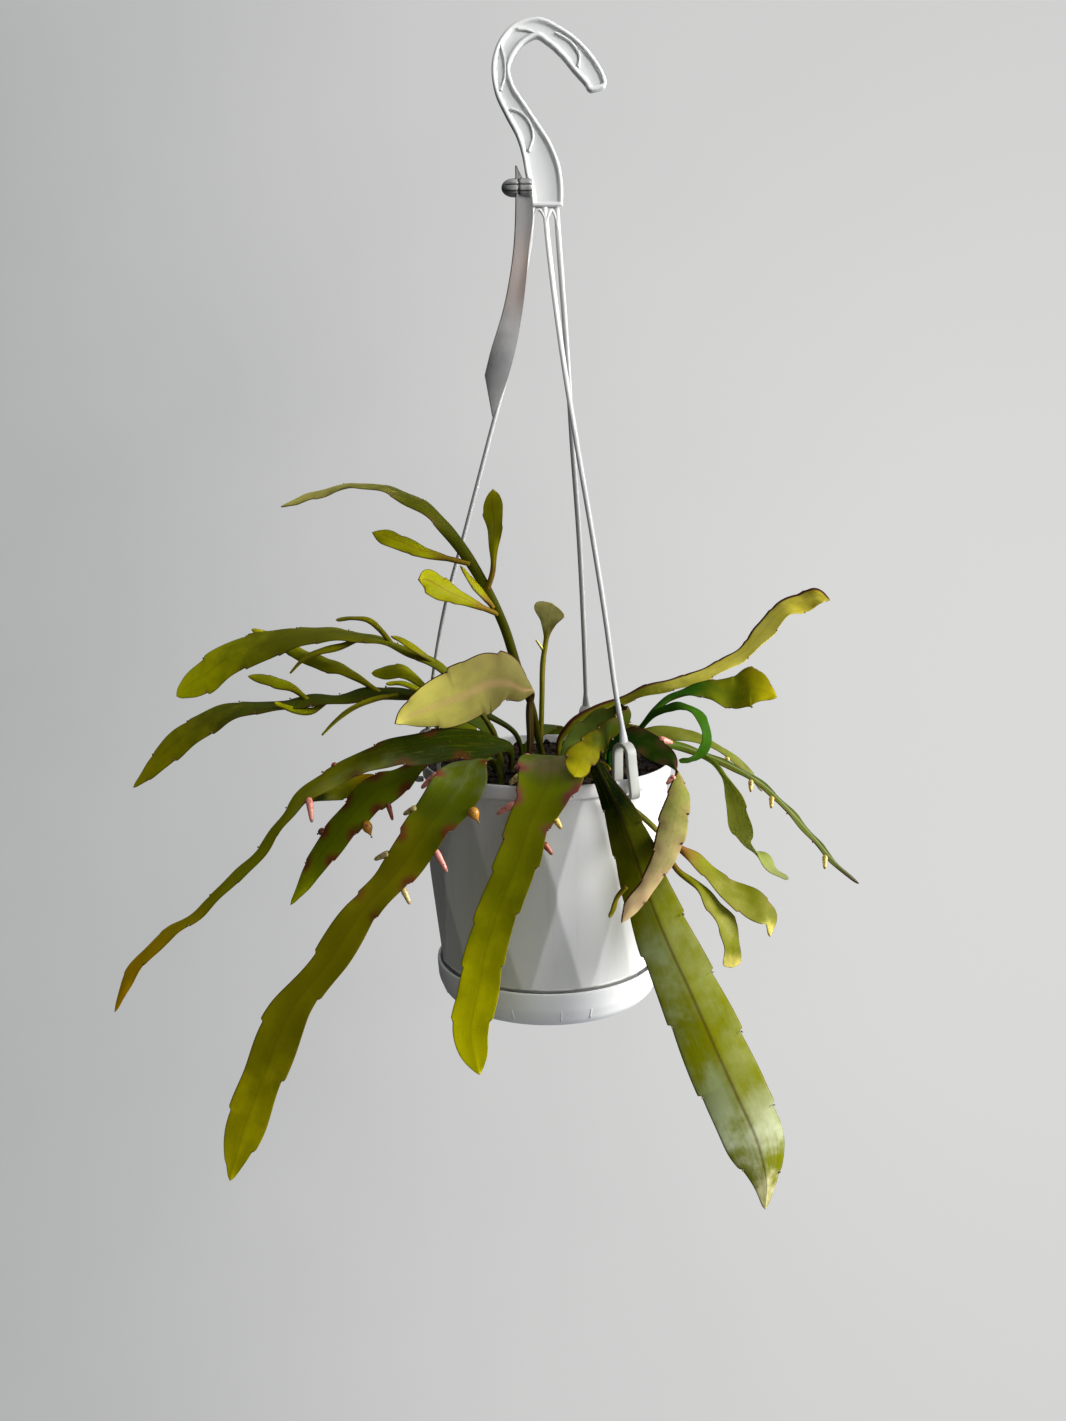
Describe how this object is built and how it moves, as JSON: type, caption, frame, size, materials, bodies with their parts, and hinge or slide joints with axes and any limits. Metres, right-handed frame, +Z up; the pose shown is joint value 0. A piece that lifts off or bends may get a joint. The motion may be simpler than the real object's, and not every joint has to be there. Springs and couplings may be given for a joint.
{
  "type": "potted rhipsalis",
  "caption": "Trailing flat-stemmed rhipsalis in a faceted white plastic pot with a saucer, hung by plastic strands from an open hook, with a bare plant tag.",
  "frame": {"origin": "bearing point inside the hook, where the hook rests on the bar or hook that holds it", "axes": "+Z up, +X to the right and -Y to the front of the plant, the side seen in the picture"},
  "size_m": [0.4093, 0.2388, 0.6083],
  "materials": {
    "pot_plastic": "satin white",
    "saucer_plastic": "satin white",
    "hanger_plastic": "satin white",
    "tag_plastic": "satin grey, bare",
    "peg_plastic": "dark grey, translucent",
    "potting_mix": "dark, rough",
    "frond_green": "waxy green",
    "frond_olive": "waxy olive",
    "frond_yellow": "waxy yellow-green",
    "frond_pale": "pale underside",
    "frond_bronze": "waxy, flushed with red"
  },
  "bodies": {
    "root": {"hanger": "hanger_plastic", "pot": "pot_plastic", "saucer": "saucer_plastic", "soil": "potting_mix", "plant_tag": "tag_plastic", "tag_peg": "peg_plastic", "frond_front_left": "frond_green", "frond_front_center": "frond_olive", "frond_front_right": "frond_green", "frond_folded_right": "frond_olive", "frond_forked_right": "frond_yellow", "frond_pale_left": "frond_pale", "frond_long_left": "frond_olive", "frond_lower_left": "frond_green", "frond_arch_left": "frond_bronze", "frond_side_left": "frond_bronze", "frond_tall_left": "frond_bronze", "shoot_upright": "frond_bronze", "frond_high_right": "frond_olive", "frond_scalloped": "frond_yellow", "frond_curled_right": "frond_green", "frond_strap_right": "frond_green", "frond_far_right": "frond_green", "shoot_small": "frond_bronze", "frond_back_center": "frond_green", "frond_back_left": "frond_green", "frond_back_right": "frond_green"}
  },
  "joints": []
}
